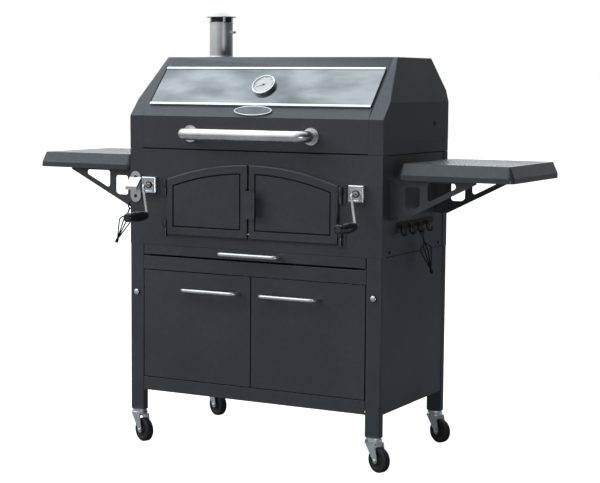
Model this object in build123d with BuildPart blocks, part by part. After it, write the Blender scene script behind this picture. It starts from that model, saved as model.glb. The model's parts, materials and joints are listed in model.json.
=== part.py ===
from build123d import *
from math import acos, atan2, cos, degrees, hypot, pi, radians, sin, tan
import os

os.makedirs("parts", exist_ok=True)

# Charcoal grill cart with a hinged hood, two crank-lifted charcoal trays, stoking doors,
# an ash drawer and a two-door cabinet.  Millimetres, +X to the right, +Y to the back,
# +Z up.  The origin is on the ground, under the middle of the resting outline.

# ---------------------------------------------------------------- driving dimensions
# body
body_width = 880
body_depth = 480
firebox_bottom = 634
firebox_top = 934
sheet = 2
rim_flange = 30

# clearances
fit_gap = 0.3
running_gap = 0.05
touch = 0.5

# frame
leg_width = 50
leg_depth = 25
leg_wall = 2
leg_corner = 4
leg_bottom = 102
rail_height = 42
rail_depth = 20
bottom_rail_z = 168
top_rail_z = 555
cabinet_floor_z = 176
panel_inset = 2

# hood
hood_lift = 0.5
seam_gap = 4
crease_z = 1038
hood_top = 1222
slope_run = 167.5
top_run = 248
rear_crease_z = 1122
side_crease_z = 1088
side_lean = 34
cap_width = 48.5
window_from = 52
window_to = 193
glass_thick = 4
glass_side_gap = 7
glass_lap = 12
trim_width = 8
trim_height = 6.5
badge_length = 130
badge_height = 38
badge_thick = 4
badge_x = -3
badge_up = 24
dial_case_radius = 37.5
dial_case_depth = 10
dial_stem_radius = 5
dial_stem_length = 60

# hood handle
hood_handle_x = -6
hood_handle_half = 210
hood_handle_z = 985
hood_handle_radius = 17.5
hood_handle_reach = 62
hood_handle_bend = 26
rosette_radius = 26
rosette_thick = 3
rosette_collar_radius = 20.5
rosette_collar_thick = 9

# chimney
chimney_x = -281
chimney_back = 290
chimney_radius = 38
chimney_height = 113
chimney_foot_radius = 50
vent_height = 17
vent_post_lap = 5
cap_radius = 49
cap_height = 18
damper_height = 82
damper_rod_radius = 3
damper_thumb = 16

# hinges of the hood
hinge_x = 300
hinge_width = 60
hinge_end = 15
hinge_radius = 6
hinge_pin_radius = 3
hinge_leaf = 36

# stoking doors
fire_door_half = 298
fire_door_bottom = 668
fire_door_shoulder = 843
fire_door_peak = 894.5
fire_door_depth = 10
fire_door_gap = 5.5
fire_seam_x = -7.5
fire_opening_inset = 14
fire_door_skin = 5
panel_margin = 26
panel_rise_margin = 30
panel_recess = 0.8
fire_door_chamfer = 3.5
groove_width = 4.5
groove_depth = 3.5
knuckle_radius = 5.5
knuckle_height = 50
knuckle_out = 8
upper_knuckle_z = 815
lower_knuckle_z = 690
door_plate_width = 38
door_plate_height = 83
door_plate_z = 776
door_plate_gap = 24
door_plate_thick = 3.5
door_post_radius = 5

# cabinet doors
cabinet_door_gap = 4
cabinet_edge_gap = 2.5
cabinet_door_depth = 18
door_pivot_in = 9.5
door_pivot_back = 6
door_pivot_radius = 3
door_pivot_length = 8
cabinet_handle_z = 500
cabinet_handle_from = 42
cabinet_handle_to = 234
cabinet_handle_radius = 6
cabinet_handle_reach = 32
cabinet_handle_bend = 18

# ash drawer
drawer_bottom = 604
drawer_front_z = 603
drawer_top = 633.3
drawer_side_gap = 2
drawer_rear_gap = 30
runner_width = 22
runner_thick = 4
drawer_handle_half = 102
drawer_handle_radius = 6.5
drawer_handle_reach = 30
drawer_handle_bend = 16

# cranks
crank_x = 361
crank_z = 822
crank_radius = 4.5
crank_bend = 8
crank_arm_length = 94
crank_arm_reach = 46
crank_tilt = 9
crank_inner_reach = 30
bezel_size = 50
bezel_depth = 18
bezel_rim = 6
bezel_recess = 2.5
bezel_collar_radius = 8
grip_length = 104
grip_base_radius = 12
grip_mid_radius = 16
grip_waist_radius = 11
grip_waist = 88
grip_disc_radius = 14
grip_disc_edge = 3
grip_recess_radius = 9
grip_recess_depth = 9
spindle_head_radius = 7
spindle_head = 3

# rack and pinion that lifts a tray
gear_module = 1.5
gear_teeth = 12
gear_width = 16
gear_front = 10
gear_backlash = 0.35
gear_pressure = 20
crank_turns = 1.5
rack_back = 8
rack_above = 5
rack_below = 8

# charcoal trays
tray_bottom = 705
tray_height = 45
tray_front = 42
tray_rear = 20
tray_middle_gap = 12
tray_side_gap = 20
tray_slot_rows = 2
tray_slot_columns = 9
tray_slot_width = 12
guide_width = 20
guide_depth = 10
guide_height = 150
guide_front_x = 325
guide_rear_x = (60, 370)
ledge_thick = 6
ledge_reach = 12
lug_thick = 4
lug_height = 30
lug_overlap = 6

# cooking grates and warming rack
grate_z = 918
grate_thick = 10
grate_gap = 3
grate_bar = 8
grate_slot = 9
grate_ledge = 44
grate_ledge_thick = 3
warming_z = 1050
warming_depth = 150
warming_front = 280
warming_half = 384
warming_thick = 4
warming_leg = 6

# side shelves
shelf_gap = 25
shelf_length = 359
shelf_depth = 398
shelf_front = 38
shelf_top = 912
shelf_bevel_in = 14.5
shelf_bevel_drop = 33.5
shelf_skirt = 15
shelf_corner = 18

# shelf brackets
bracket_front = 55
bracket_rear = 80
bracket_bottom = 743
bracket_toe = 36
bracket_reach = 268
bracket_nose_z = 858
bracket_flange = 20
bracket_thick = 2
bracket_hole_corner = 8
bracket_hole_margin = 17
bracket_hole_height = 76
bracket_hole_down = 54
bracket_hole_from = 47
bracket_hole_width = 46
bracket_hole_post = 24
bracket_hole_step = 14.5
bracket_hole_length = 88

# hook rails and grate lifters
hook_rail_centre = 237.5
hook_rail_length = 255
hook_rail_height = 18
hook_rail_z = 714
hook_rail_thick = 4
hook_centre = 217.7
hook_pitch = 62.4
hook_count = 4
hook_wire_radius = 3.5
hook_drop = 19
hook_reach = 14
hook_tip = 12
hook_bend = 7
lifter_ring_radius = 9
lifter_wire_radius = 2
lifter_shank = 22
lifter_cage = 92
lifter_shoulder = 20
lifter_shoulder_bend = 14
lifter_lean = 25
lifter_tilt = 8
lifter_back_lean = 18
bracket_hook_in = 8
bracket_hook_up = 8
bracket_hook_out = 22
lifter_bulge = 19
lifter_wires = 4
lifter_tip_radius = 5
lifter_tip = 10

# bottle opener
opener_x = -418
opener_width = 38
opener_lip_width = 42
opener_height = 97
opener_z = 814
opener_thick = 4
opener_lip = 26

# casters
wheel_radius = 37.5
wheel_width = 24
wheel_edge = 6
wheel_dish = 3
axle_radius = 4
caster_trail = 25
caster_turn = -21.7
caster_plate_radius = 23
caster_plate_thick = 5
kingpin_radius = 5
kingpin_head_radius = 8
kingpin_head = 4
race_radius = 24
race_height = 9
fork_plate = 3
fork_inner_gap = 3.5
fork_bridge = 4
fork_nose_radius = 9
fork_half_length = 20

# bolts
bolt_head_radius = 9
bolt_head_height = 4
leg_bolt_z = (480, 516)
side_bolt_radius = 5
side_bolt_z = 648

# ---------------------------------------------------------------- derived places
front_reach = crank_arm_reach + crank_bend + touch + grip_length
rear_reach = sheet + 2 * hinge_radius
front = front_reach - (front_reach + body_depth + rear_reach) / 2
back = front + body_depth
half = body_width / 2
leg_inner = half - leg_width
side_face = half - panel_inset
firebox_height = firebox_top - firebox_bottom
seam_x = half - cap_width

slope_rise = hood_top - crease_z
slope_length = hypot(slope_run, slope_rise)
slope = Plane(
    origin=(0, front, crease_z),
    x_dir=(1, 0, 0),
    z_dir=(0, -slope_rise / slope_length, slope_run / slope_length),
)
window_middle = (window_from + window_to) / 2
window_height = window_to - window_from
glass_width = 2 * (seam_x - glass_side_gap)

pitch_radius = gear_module * gear_teeth / 2
tooth_pitch = pi * gear_module
tooth_reach = 0.7 * gear_module
tooth_depth = 1.25 * gear_module
tray_travel = crank_turns * 2 * pi * pitch_radius


# ---------------------------------------------------------------- helpers
def facing(y):
    """Plane at depth y that looks to the front, with x to the right and z up."""
    return Plane.XZ.offset(-y)


def block(x, y, z, mode=Mode.ADD):
    """Box between two corners, each given as (low, high) along one axis."""
    centre = ((x[0] + x[1]) / 2, (y[0] + y[1]) / 2, (z[0] + z[1]) / 2)
    with Locations(centre):
        Box(x[1] - x[0], y[1] - y[0], z[1] - z[0], mode=mode)


def rod(start, end, radius, mode=Mode.ADD):
    """Cylinder from one point to another."""
    run = Vector(*end) - Vector(*start)
    with Locations(Plane(origin=start, z_dir=run)):
        Cylinder(radius, run.length, align=(Align.CENTER, Align.CENTER, Align.MIN), mode=mode)


def sided(side, low, high):
    """Low and high x on the given side, -1 left or 1 right, in rising order."""
    return tuple(sorted((side * low, side * high)))


def bent_rod(points, bend, radius):
    """Round rod swept along straight runs joined by arcs."""
    with BuildLine() as route:
        FilletPolyline(*points, radius=bend)
    first = route.line @ 0
    with BuildSketch(Plane(origin=first, z_dir=route.line % 0)) as section:
        Circle(radius)
    sweep(section.sketch, path=route.line)


def keep(piece, node):
    piece.part.label = node
    export_step(piece.part, f"parts/{node}.step")


# ---------------------------------------------------------------- frame and cabinet
with BuildPart() as legs:
    for side in (-1, 1):
        for y in (front + leg_depth / 2, back - leg_depth / 2):
            with BuildSketch(Plane.XY.offset(leg_bottom)):
                with Locations((side * (half - leg_width / 2), y)):
                    RectangleRounded(leg_width, leg_depth, leg_corner)
                    inner = (leg_width - 2 * leg_wall, leg_depth - 2 * leg_wall)
                    RectangleRounded(*inner, leg_corner - leg_wall, mode=Mode.SUBTRACT)
            extrude(amount=firebox_bottom - leg_bottom)
keep(legs, "legs")

with BuildPart() as cabinet_rails:
    for low in (bottom_rail_z, top_rail_z):
        with BuildSketch(Plane.YZ.offset(-leg_inner)):
            with Locations((front, low)):
                align = (Align.MIN, Align.MIN)
                Rectangle(rail_depth, rail_height, align=align)
            with Locations((front + sheet, low + sheet)):
                Rectangle(rail_depth, rail_height - 2 * sheet, align=align, mode=Mode.SUBTRACT)
        extrude(amount=2 * leg_inner)
keep(cabinet_rails, "cabinet_rails")

cabinet_back_y = back - 2 * sheet
with BuildPart() as cabinet_floor:
    floor_z = (cabinet_floor_z, cabinet_floor_z + sheet)
    block((-side_face + sheet, side_face - sheet), (front + leg_depth, back - leg_depth), floor_z)
    block((-leg_inner, leg_inner), (front + rail_depth, cabinet_back_y), floor_z)
keep(cabinet_floor, "cabinet_floor")

for side, node in ((-1, "cabinet_side_left"), (1, "cabinet_side_right")):
    with BuildPart() as cabinet_side:
        block(
            sided(side, side_face - sheet, side_face),
            (front + leg_depth, back - leg_depth),
            (bottom_rail_z, firebox_bottom),
        )
    keep(cabinet_side, node)

with BuildPart() as cabinet_back:
    block(
        (-leg_inner, leg_inner),
        (cabinet_back_y, cabinet_back_y + sheet),
        (bottom_rail_z, top_rail_z + rail_height),
    )
keep(cabinet_back, "cabinet_back")


# ---------------------------------------------------------------- firebox
def arch_outline(inset, low_x, high_x):
    """Stoking-door outline in the (x, z) plane, drawn in by inset, cut at low_x and high_x."""
    rise = fire_door_peak - fire_door_shoulder
    arc_radius = (fire_door_half**2 + rise**2) / (2 * rise)
    centre_z = fire_door_peak - arc_radius

    def crown(x):
        return centre_z + ((arc_radius - inset) ** 2 - x**2) ** 0.5

    middle = (low_x + high_x) / 2
    bottom = fire_door_bottom + inset
    with BuildLine() as outline:
        Polyline((low_x, crown(low_x)), (low_x, bottom), (high_x, bottom), (high_x, crown(high_x)))
        ThreePointArc((high_x, crown(high_x)), (middle, crown(middle)), (low_x, crown(low_x)))
    return outline.line


def firebox_pan(y, open_end):
    """Front or back wall of the firebox: a sheet with flanges turned in all round."""
    block((-half, half), y, (firebox_bottom, firebox_top))
    inside = (-half + sheet, half - sheet), (firebox_bottom + sheet, firebox_top - sheet)
    hollow = (y[0] + sheet, y[1]) if open_end > 0 else (y[0], y[1] - sheet)
    block(inside[0], hollow, inside[1], mode=Mode.SUBTRACT)


with BuildPart() as firebox_front:
    firebox_pan((front, front + rim_flange), 1)
    opening_half = fire_door_half - fire_opening_inset
    with BuildSketch(facing(front)):
        add(arch_outline(fire_opening_inset, -opening_half, opening_half))
        make_face()
    extrude(amount=-sheet, mode=Mode.SUBTRACT)
    for side in (-1, 1):
        shaft_hole = crank_radius + sheet
        centre = (side * crank_x, front, crank_z)
        rod(centre, (centre[0], front + sheet, crank_z), shaft_hole, mode=Mode.SUBTRACT)
keep(firebox_front, "firebox_front")

with BuildPart() as firebox_back:
    firebox_pan((back - rim_flange, back), -1)
keep(firebox_back, "firebox_back")

for side, node in ((-1, "firebox_side_left"), (1, "firebox_side_right")):
    with BuildPart() as firebox_side:
        side_z = (firebox_bottom + sheet, firebox_top - sheet)
        side_y = (front + sheet, back - sheet)
        block(sided(side, side_face - sheet, side_face), side_y, side_z)
        rim_y = (front + rim_flange, back - rim_flange)
        rim_x = sided(side, side_face - 8 * sheet, side_face)
        block(rim_x, rim_y, (side_z[1] - sheet, side_z[1]))
    keep(firebox_side, node)

# ---------------------------------------------------------------- inner guides
tray_inner_front = front + tray_front
tray_inner_back = back - tray_rear
ledge_top = tray_bottom - fit_gap
wall_front = front + sheet
wall_back = back - sheet
runner_top = drawer_bottom - fit_gap

with BuildPart() as inner_guides:
    guide_z = (ledge_top + fit_gap, ledge_top + guide_height)
    ledge_z = (ledge_top - ledge_thick, ledge_top)
    for side in (-1, 1):
        bar = sided(side, guide_front_x - guide_width / 2, guide_front_x + guide_width / 2)
        block(bar, (wall_front, wall_front + guide_depth), guide_z)
        block(bar, (wall_front, tray_inner_front + ledge_reach), ledge_z)
        for x in guide_rear_x:
            bar = sided(side, x - guide_width / 2, x + guide_width / 2)
            block(bar, (wall_back - guide_depth, wall_back), guide_z)
            block(bar, (tray_inner_back - ledge_reach, wall_back), ledge_z)
        block(
            sided(side, leg_inner - runner_width, leg_inner),
            (front + 2 * sheet, back),
            (runner_top - runner_thick, runner_top),
        )
    ledge_half = side_face - sheet
    grate_ledge_z = (grate_z - grate_ledge_thick, grate_z)
    block((-ledge_half, ledge_half), (wall_front, front + grate_ledge), grate_ledge_z)
    block((-ledge_half, ledge_half), (back - grate_ledge, wall_back), grate_ledge_z)
keep(inner_guides, "inner_guides")

# ---------------------------------------------------------------- grates and warming rack
grate_y = (front + rim_flange + grate_gap, back - rim_flange - grate_gap)
grate_x = (grate_gap / 2, side_face - 8 * sheet - grate_gap)
grate_length = grate_x[1] - grate_x[0]
grate_depth = grate_y[1] - grate_y[0]
slot_pitch = grate_bar + grate_slot
slot_columns = int((grate_length - grate_bar) // slot_pitch)
slot_run = (grate_depth - 3 * grate_bar) / 2

for side, node in ((-1, "cooking_grate_left"), (1, "cooking_grate_right")):
    with BuildPart() as cooking_grate:
        with BuildSketch(Plane.XY.offset(grate_z)):
            centre = (side * (grate_x[0] + grate_x[1]) / 2, (grate_y[0] + grate_y[1]) / 2)
            with Locations(centre):
                Rectangle(grate_length, grate_depth)
                with GridLocations(slot_pitch, slot_run + grate_bar, slot_columns, 2):
                    Rectangle(grate_slot, slot_run, mode=Mode.SUBTRACT)
        extrude(amount=grate_thick)
    keep(cooking_grate, node)

rack_y = (front + warming_front, front + warming_front + warming_depth)
rack_leg_x = warming_half + warming_leg
with BuildPart() as warming_rack:
    with BuildSketch(Plane.XY.offset(warming_z)):
        with Locations((0, (rack_y[0] + rack_y[1]) / 2)):
            Rectangle(2 * rack_leg_x, warming_depth)
            rack_slot = warming_depth - 2 * grate_bar
            rack_columns = int((2 * rack_leg_x - grate_bar) // (2 * grate_bar + warming_leg))
            with GridLocations(2 * grate_bar + warming_leg, 0, rack_columns, 1):
                Rectangle(2 * grate_bar, rack_slot, mode=Mode.SUBTRACT)
    extrude(amount=warming_thick)
    rim_top = firebox_top - sheet
    for side in (-1, 1):
        for y in (rack_y[0] + warming_leg, rack_y[1] - warming_leg):
            foot_x = side * (side_face - 4 * sheet)
            block(
                sided(side, rack_leg_x - warming_leg, side_face - 3 * sheet),
                (y - warming_leg / 2, y + warming_leg / 2),
                (warming_z - warming_leg, warming_z),
            )
            rod((foot_x, y, rim_top), (foot_x, y, warming_z), warming_leg / 2)
keep(warming_rack, "warming_rack")


# ---------------------------------------------------------------- hood
def hood_outline(inset, front_foot, rear_foot):
    """Side view of the hood in the (y, z) plane, drawn in by inset, open at its foot."""
    turn_front = atan2(slope_run, slope_rise)
    top_back = front + slope_run + top_run
    rear_run = back - top_back
    rear_rise = hood_top - rear_crease_z
    turn_rear = atan2(rear_run, rear_rise)
    top_front = front + slope_run + inset * tan((pi / 2 - turn_front) / 2)
    return (
        (front + inset, front_foot),
        (front + inset, crease_z - inset * tan(turn_front / 2)),
        (top_front, hood_top - inset),
        (top_back - inset * tan((pi / 2 - turn_rear) / 2), hood_top - inset),
        (back - inset, rear_crease_z - inset * tan(turn_rear / 2)),
        (back - inset, rear_foot),
    )


hinge_y = back + sheet + hinge_radius
hinge_z = firebox_top
knuckle_x = hinge_width / 2 - hinge_end - fit_gap
panel_foot = firebox_top + seam_gap
cap_foot = firebox_top + hood_lift
chimney_y = front + chimney_back

with BuildPart() as hood_panel:
    with BuildSketch(Plane.YZ.offset(-seam_x)):
        with BuildLine():
            outer = hood_outline(0, panel_foot, cap_foot)
            inner = hood_outline(sheet, panel_foot, cap_foot)
            Polyline(*outer, *reversed(inner), close=True)
        make_face()
    extrude(amount=2 * seam_x)
    with BuildSketch(slope):
        with Locations((0, window_middle)):
            Rectangle(glass_width - 2 * glass_lap, window_height - 2 * glass_lap)
    extrude(amount=-3 * sheet, mode=Mode.SUBTRACT)
    flue = chimney_radius - sheet
    centre = (chimney_x, chimney_y, hood_top - 2 * sheet)
    rod(centre, (chimney_x, chimney_y, hood_top + sheet), flue, mode=Mode.SUBTRACT)
    for side in (-1, 1):
        middle = side * hinge_x
        leaf_x = (middle - hinge_width / 2, middle + hinge_width / 2)
        knuckle = (middle - knuckle_x, middle + knuckle_x)
        block(leaf_x, (back, back + sheet), (panel_foot, panel_foot + hinge_leaf))
        block(knuckle, (back, hinge_y), (hinge_z + touch, hinge_z + 2 * hinge_radius))
        ends = [(x, hinge_y, hinge_z) for x in knuckle]
        rod(*ends, hinge_radius)
        rod(*ends, hinge_pin_radius + running_gap, mode=Mode.SUBTRACT)
        # notch over the fixed knuckles, so that the rear edge can swing past them
        notch_x = (leaf_x[0] - touch, leaf_x[1] + touch)
        swing_z = hinge_z + hinge_radius + touch
        block(notch_x, (back - sheet, back), (hinge_z, swing_z), mode=Mode.SUBTRACT)
keep(hood_panel, "hood_panel")


def hood_cap(side, inset, start, foot):
    """Solid end of the hood: the side view pushed outwards, its top leaning in."""
    end = half - inset
    with BuildSketch(Plane.YZ.offset(side * start)) as profile:
        with BuildLine():
            Polyline(*hood_outline(inset, foot, foot), close=True)
        make_face()
    extrude(profile.sketch, amount=side * (end - start))
    lean = side_lean / (hood_top - side_crease_z)
    drop = inset * (hypot(1, lean) - 1) / lean
    high = 2 * hood_top
    low_z = side_crease_z - drop
    top_x = side * (end - lean * (high - low_z))
    wide_x = 2 * side * end
    with BuildSketch(facing(back + sheet)) as wedge:
        with BuildLine():
            Polyline((side * end, low_z), (top_x, high), (wide_x, high), (wide_x, low_z), close=True)
        make_face()
    extrude(wedge.sketch, amount=body_depth + 4 * sheet, mode=Mode.SUBTRACT)


for side, node in ((-1, "hood_side_left"), (1, "hood_side_right")):
    with BuildPart() as hollow:
        hood_cap(side, sheet, seam_x, firebox_top)
    with BuildPart() as hood_side:
        hood_cap(side, 0, seam_x, cap_foot)
        add(hollow.part, mode=Mode.SUBTRACT)
    keep(hood_side, node)

with BuildPart() as hood_window:
    with BuildSketch(slope):
        with Locations((0, window_middle)):
            Rectangle(glass_width, window_height)
            Circle(dial_stem_radius + 2 * fit_gap, mode=Mode.SUBTRACT)
    extrude(amount=glass_thick)
keep(hood_window, "hood_window")

with BuildPart() as window_trim:
    with BuildSketch(slope):
        for place in (window_from - trim_width / 2, window_to + trim_width / 2):
            with Locations((0, place)):
                Rectangle(glass_width, trim_width)
    extrude(amount=trim_height)
keep(window_trim, "window_trim")

with BuildPart() as thermometer:
    with BuildSketch(slope.offset(glass_thick)):
        with Locations((0, window_middle)):
            Circle(dial_case_radius)
    extrude(amount=dial_case_depth)
    with BuildSketch(slope.offset(glass_thick + dial_case_depth)):
        with Locations((0, window_middle)):
            Circle(dial_case_radius - 2 * sheet)
    extrude(amount=-sheet, mode=Mode.SUBTRACT)
    with BuildSketch(slope.offset(glass_thick)):
        with Locations((0, window_middle)):
            Circle(dial_stem_radius)
    extrude(amount=-dial_stem_length)
keep(thermometer, "thermometer")

with BuildPart() as badge_plate:
    with BuildSketch(slope):
        with Locations((badge_x, badge_up)):
            Ellipse(badge_length / 2, badge_height / 2)
    extrude(amount=badge_thick)
keep(badge_plate, "badge_plate")

with BuildPart() as hood_handle:
    ends = [(hood_handle_x + side * hood_handle_half, front, hood_handle_z) for side in (-1, 1)]
    bars = [(x, front - hood_handle_reach, z) for x, y, z in ends]
    bent_rod((ends[0], bars[0], bars[1], ends[1]), hood_handle_bend, hood_handle_radius)
    for end in ends:
        rod(end, (end[0], front - rosette_thick, end[2]), rosette_radius)
        rod(end, (end[0], front - rosette_collar_thick, end[2]), rosette_collar_radius)
keep(hood_handle, "hood_handle")

with BuildPart() as hood_hinge_brackets:
    for side in (-1, 1):
        middle = side * hinge_x
        leaf_x = (middle - hinge_width / 2, middle + hinge_width / 2)
        block(leaf_x, (back, back + sheet), (hinge_z - hinge_leaf, hinge_z - hinge_radius))
        for end in (leaf_x[0], leaf_x[1] - hinge_end):
            knuckle = (end, end + hinge_end)
            web_z = (hinge_z - 2 * hinge_radius, hinge_z)
            block(knuckle, (back, hinge_y), web_z)
            rod((knuckle[0], hinge_y, hinge_z), (knuckle[1], hinge_y, hinge_z), hinge_radius)
        rod((leaf_x[0], hinge_y, hinge_z), (leaf_x[1], hinge_y, hinge_z), hinge_pin_radius)
keep(hood_hinge_brackets, "hood_hinge_brackets")

# ---------------------------------------------------------------- chimney
pipe_top = hood_top + chimney_height
brim_z = pipe_top + vent_height
damper_z = hood_top + damper_height
with BuildPart() as chimney:
    with BuildSketch(Plane.XY.offset(hood_top)):
        with Locations((chimney_x, chimney_y)):
            Circle(chimney_foot_radius)
    extrude(amount=sheet)
    post_top = chimney_height + vent_height + vent_post_lap
    with BuildSketch(Plane.XY.offset(hood_top)):
        with Locations((chimney_x, chimney_y)):
            Circle(chimney_radius)
    extrude(amount=post_top)
    with BuildSketch(Plane.XY.offset(hood_top)):
        with Locations((chimney_x, chimney_y)):
            Circle(chimney_radius - sheet)
    extrude(amount=post_top, mode=Mode.SUBTRACT)
    with BuildSketch(Plane.XY.offset(pipe_top)):
        with Locations((chimney_x, chimney_y)):
            Circle(chimney_radius + sheet)
            for turn in (45, 135):
                Rectangle(3 * chimney_radius, 4 * sheet, rotation=turn, mode=Mode.SUBTRACT)
    extrude(amount=post_top, mode=Mode.SUBTRACT)
    cone = Plane(origin=(chimney_x, chimney_y, brim_z), x_dir=(1, 0, 0), z_dir=(0, -1, 0))
    with BuildSketch(cone):
        with BuildLine():
            peak = cap_height - sheet
            Polyline((0, peak), (cap_radius, 0), (cap_radius, sheet), (0, cap_height), close=True)
        make_face()
    revolve(axis=Axis((chimney_x, chimney_y, 0), (0, 0, 1)))
    wall = chimney_radius + sheet
    hole = [(chimney_x + side * wall, chimney_y, damper_z) for side in (-1, 1)]
    rod(*hole, damper_rod_radius + running_gap, mode=Mode.SUBTRACT)
keep(chimney, "chimney")

with BuildPart() as chimney_damper:
    with BuildSketch(Plane.XY.offset(damper_z - sheet / 2)):
        with Locations((chimney_x, chimney_y)):
            Circle(chimney_radius - sheet - 1)
    extrude(amount=sheet)
    rod_end = chimney_x + chimney_radius + damper_thumb / 2
    rod_start = chimney_x - chimney_radius - sheet
    rod((rod_start, chimney_y, damper_z), (rod_end, chimney_y, damper_z), damper_rod_radius)
    thumb_y = (chimney_y - damper_thumb / 2, chimney_y + damper_thumb / 2)
    thumb_x = (chimney_x + chimney_radius + sheet, rod_end + damper_thumb / 4)
    block(thumb_x, thumb_y, (damper_z - sheet / 2, damper_z + sheet / 2))
keep(chimney_damper, "chimney_damper")

# ---------------------------------------------------------------- stoking doors
door_face = front - touch - fire_door_depth
knuckle_y = front - knuckle_radius - touch
knuckle_line = fire_door_half + knuckle_out
half_knuckle = knuckle_height / 2
door_edges = {
    -1: (-fire_door_half, fire_seam_x - fire_door_gap / 2),
    1: (fire_seam_x + fire_door_gap / 2, fire_door_half),
}

for side, node in ((-1, "fire_door_left"), (1, "fire_door_right")):
    low, high = door_edges[side]
    with BuildPart() as fire_door:
        with BuildSketch(facing(door_face + fire_door_depth)):
            add(arch_outline(0, low, high))
            make_face()
        extrude(amount=fire_door_depth)
        chamfer(fire_door.faces().sort_by(Axis.Y)[0].edges(), length=fire_door_chamfer)
        with BuildSketch(facing(door_face + fire_door_depth)):
            add(arch_outline(sheet, low + sheet, high - sheet))
            make_face()
        extrude(amount=fire_door_depth - fire_door_skin, mode=Mode.SUBTRACT)
        rim = panel_margin - groove_width
        rise_rim = panel_rise_margin - groove_width
        with BuildSketch(facing(door_face)):
            add(arch_outline(rise_rim, low + rim, high - rim))
            make_face()
        extrude(amount=-groove_depth, mode=Mode.SUBTRACT)
        with BuildSketch(facing(door_face + panel_recess)):
            add(arch_outline(panel_rise_margin, low + panel_margin, high - panel_margin))
            make_face()
        extrude(amount=panel_recess - groove_depth)
        for z in (upper_knuckle_z, lower_knuckle_z):
            top = z + half_knuckle
            start = (side * knuckle_line, knuckle_y, z + fit_gap)
            rod(start, (start[0], knuckle_y, top), knuckle_radius)
            leaf_y = (knuckle_y - sheet / 2, knuckle_y + sheet / 2)
            leaf_x = sided(side, fire_door_half - sheet, knuckle_line)
            block(leaf_x, leaf_y, (z + fit_gap, top))
            bore = knuckle_radius / 2 + running_gap
            rod(start, (start[0], knuckle_y, top), bore, mode=Mode.SUBTRACT)
    keep(fire_door, node)

with BuildPart() as fire_door_hinges:
    for side in (-1, 1):
        for z in (upper_knuckle_z, lower_knuckle_z):
            x = side * knuckle_line
            bottom = z - half_knuckle
            rod((x, knuckle_y, bottom), (x, knuckle_y, z), knuckle_radius)
            rod((x, knuckle_y, bottom), (x, knuckle_y, z + half_knuckle), knuckle_radius / 2)
            web = sided(side, knuckle_line - sheet, knuckle_line + sheet)
            block(web, (knuckle_y, front), (bottom, z))
            plate = sided(side, knuckle_line - sheet, knuckle_line + 3 * knuckle_radius)
            block(plate, (front - sheet, front), (bottom, z + half_knuckle))
            gap_x = sided(side, knuckle_line - 2 * sheet, knuckle_line + 2 * knuckle_radius)
            gap_z = (z, z + half_knuckle + sheet)
            block(gap_x, (front - sheet, front), gap_z, mode=Mode.SUBTRACT)
keep(fire_door_hinges, "fire_door_hinges")

with BuildPart() as fire_door_handle:
    plate_x = (door_edges[1][0], door_edges[1][0] + door_plate_width)
    plate_z = (door_plate_z - door_plate_height / 2, door_plate_z + door_plate_height / 2)
    plate_back = door_face - door_plate_gap
    block(plate_x, (plate_back - door_plate_thick, plate_back), plate_z)
    chamfer(fire_door_handle.edges().filter_by(Axis.Y), length=2 * sheet)
    post_x = plate_x[0] + panel_margin / 2
    for z in (plate_z[0] + door_plate_height / 4, plate_z[1] - door_plate_height / 4):
        rod((post_x, door_face, z), (post_x, plate_back, z), door_post_radius)
keep(fire_door_handle, "fire_door_handle")

# ---------------------------------------------------------------- cabinet doors
door_z = (bottom_rail_z + rail_height + cabinet_edge_gap, top_rail_z - cabinet_edge_gap)
pivot_x = leg_inner - door_pivot_in
pivot_y = front + door_pivot_back
for side, name in ((-1, "left"), (1, "right")):
    with BuildPart() as cabinet_door:
        door_x = (cabinet_door_gap / 2, leg_inner - cabinet_edge_gap)
        block(sided(side, *door_x), (front, front + cabinet_door_depth), door_z)
        block(
            sided(side, door_x[0] + sheet, door_x[1] - sheet),
            (front + sheet, front + cabinet_door_depth),
            (door_z[0] + sheet, door_z[1] - sheet),
            mode=Mode.SUBTRACT,
        )
        ends = [(side * pivot_x, pivot_y, z) for z in (door_z[0] - sheet, door_z[1] + sheet)]
        rod(*ends, door_pivot_radius + running_gap, mode=Mode.SUBTRACT)
    keep(cabinet_door, f"cabinet_door_{name}")

    with BuildPart() as cabinet_handle:
        reach = front - cabinet_handle_reach
        stops = (cabinet_handle_from, cabinet_handle_to)
        ends = [(side * x, front, cabinet_handle_z) for x in stops]
        bars = [(side * x, reach, cabinet_handle_z) for x in stops]
        route = (ends[0], bars[0], bars[1], ends[1])
        bent_rod(route, cabinet_handle_bend, cabinet_handle_radius)
    keep(cabinet_handle, f"cabinet_handle_{name}")

with BuildPart() as cabinet_hinges:
    for side in (-1, 1):
        x = side * pivot_x
        low_rail = bottom_rail_z + rail_height
        low_end = (x, pivot_y, door_z[0] + door_pivot_length)
        high_end = (x, pivot_y, door_z[1] - door_pivot_length)
        rod((x, pivot_y, low_rail), low_end, door_pivot_radius)
        rod(high_end, (x, pivot_y, top_rail_z), door_pivot_radius)
keep(cabinet_hinges, "cabinet_hinges")

# ---------------------------------------------------------------- ash drawer
drawer_half = leg_inner - drawer_side_gap
drawer_wall_top = drawer_top - sheet
with BuildPart() as ash_drawer:
    block((-drawer_half, drawer_half), (front, front + sheet), (drawer_front_z, drawer_top))
    pan_y = (front, back - drawer_rear_gap)
    block((-drawer_half, drawer_half), pan_y, (drawer_bottom, drawer_wall_top))
    inside_x = (-drawer_half + sheet, drawer_half - sheet)
    inside_y = (front + sheet, pan_y[1] - sheet)
    block(inside_x, inside_y, (drawer_bottom + sheet, drawer_top), mode=Mode.SUBTRACT)
keep(ash_drawer, "ash_drawer")

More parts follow.
